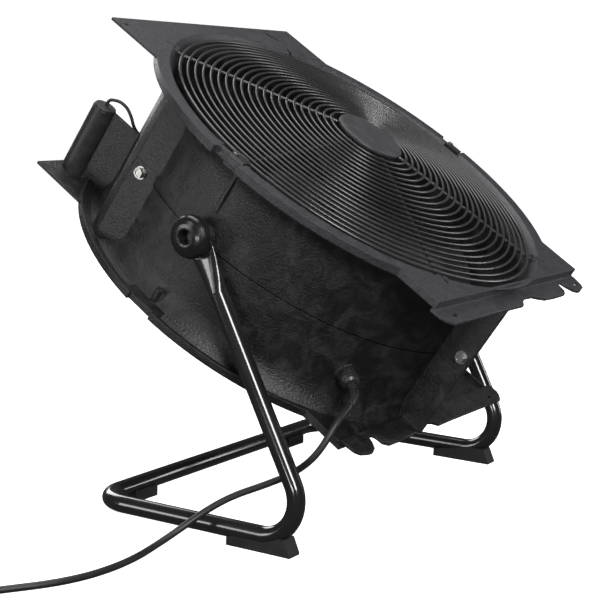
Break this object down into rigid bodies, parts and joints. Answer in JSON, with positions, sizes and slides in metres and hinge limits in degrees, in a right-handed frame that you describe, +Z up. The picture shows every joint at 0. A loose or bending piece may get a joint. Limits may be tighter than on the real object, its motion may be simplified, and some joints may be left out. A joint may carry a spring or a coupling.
{
  "type": "axial air mover",
  "caption": "Tilting axial air mover: drum fan with wire guards in a split flanged housing, clamped by knobs between the arms of a bent-tube floor stand, with mains lead.",
  "frame": {"origin": "bottom centre of the whole without its mains lead, on the floor under the tilt axis", "axes": "+Z up, outlet towards -Y and tilted up, +X to the right of someone who looks along +Y"},
  "size_m": [0.8451, 0.5316, 0.5343],
  "materials": {
    "stand_enamel": "gloss black",
    "foot_rubber": "matte",
    "zinc_steel": "zinc plated",
    "housing_plastic": "satin mottled",
    "guard_wire": "coated wire",
    "cap_plastic": "satin",
    "impeller_plastic": "satin",
    "motor_steel": "laminated",
    "rotor_paint": "painted die casting",
    "bracket_paint": "satin black",
    "knob_plastic": "gloss",
    "insert_steel": "blackened",
    "washer_fibre": "matte",
    "capacitor_case": "matte",
    "sleeve": "matte",
    "gland_nylon": "satin",
    "cord_rubber": "satin",
    "plug_rubber": "satin",
    "plug_metal": "nickel plated"
  },
  "bodies": {
    "stand": {"stand_frame": "stand_enamel", "front_foot_left": "foot_rubber", "front_foot_right": "foot_rubber", "rear_foot_left": "foot_rubber", "rear_foot_right": "foot_rubber", "foot_screws": "zinc_steel", "arm_washers": "zinc_steel", "cord_hanging": "cord_rubber", "cord_floor": "cord_rubber", "cord_coil": "cord_rubber", "cord_tail": "cord_rubber", "mains_plug": "plug_rubber", "plug_pins": "plug_metal", "plug_earth_strips": "plug_metal"},
    "housing": {"bracket_bolts": "zinc_steel", "capacitor": "capacitor_case", "capacitor_lead": "sleeve", "capacitor_nut": "zinc_steel", "friction_washers": "washer_fibre", "front_grille": "guard_wire", "front_shell": "housing_plastic", "gland_body": "gland_nylon", "gland_locknut": "gland_nylon", "gland_nut": "gland_nylon", "grille_cap": "cap_plastic", "grille_clips": "gland_nylon", "grille_screws": "zinc_steel", "motor_bearings": "motor_steel", "motor_bracket": "bracket_paint", "motor_screws": "zinc_steel", "motor_stator": "motor_steel", "pivot_studs": "insert_steel", "rear_grille": "guard_wire", "rear_shell": "housing_plastic", "shell_bolts": "zinc_steel", "shell_nut": "zinc_steel"},
    "impeller": {"rotor_bell": "rotor_paint", "rotor_shaft": "motor_steel", "impeller": "impeller_plastic", "impeller_screws": "zinc_steel"},
    "knob_left": {"knob_left": "knob_plastic", "knob_insert_left": "insert_steel"},
    "knob_right": {"knob_right": "knob_plastic", "knob_insert_right": "insert_steel"}
  },
  "joints": [
    {"name": "head_tilt", "type": "hinge", "parent": "stand", "child": "housing", "pos_m": [0, -0.00282, 0.313], "axis": [-1, 0, 0], "range_deg": [-56.5, 3], "deforming": ["cord_hanging"]},
    {"name": "impeller_spin", "type": "hinge", "parent": "housing", "child": "impeller", "pos_m": [0, -0.00282, 0.313], "axis": [0, -0.5519, 0.8339], "continuous": true},
    {"name": "knob_left_turn", "type": "hinge", "parent": "housing", "child": "knob_left", "pos_m": [-0.24, -0.00282, 0.313], "axis": [-1, 0, 0], "range_deg": [0, 720]},
    {"name": "knob_right_turn", "type": "hinge", "parent": "housing", "child": "knob_right", "pos_m": [0.24, -0.00282, 0.313], "axis": [1, 0, 0], "range_deg": [0, 720]}
  ]
}
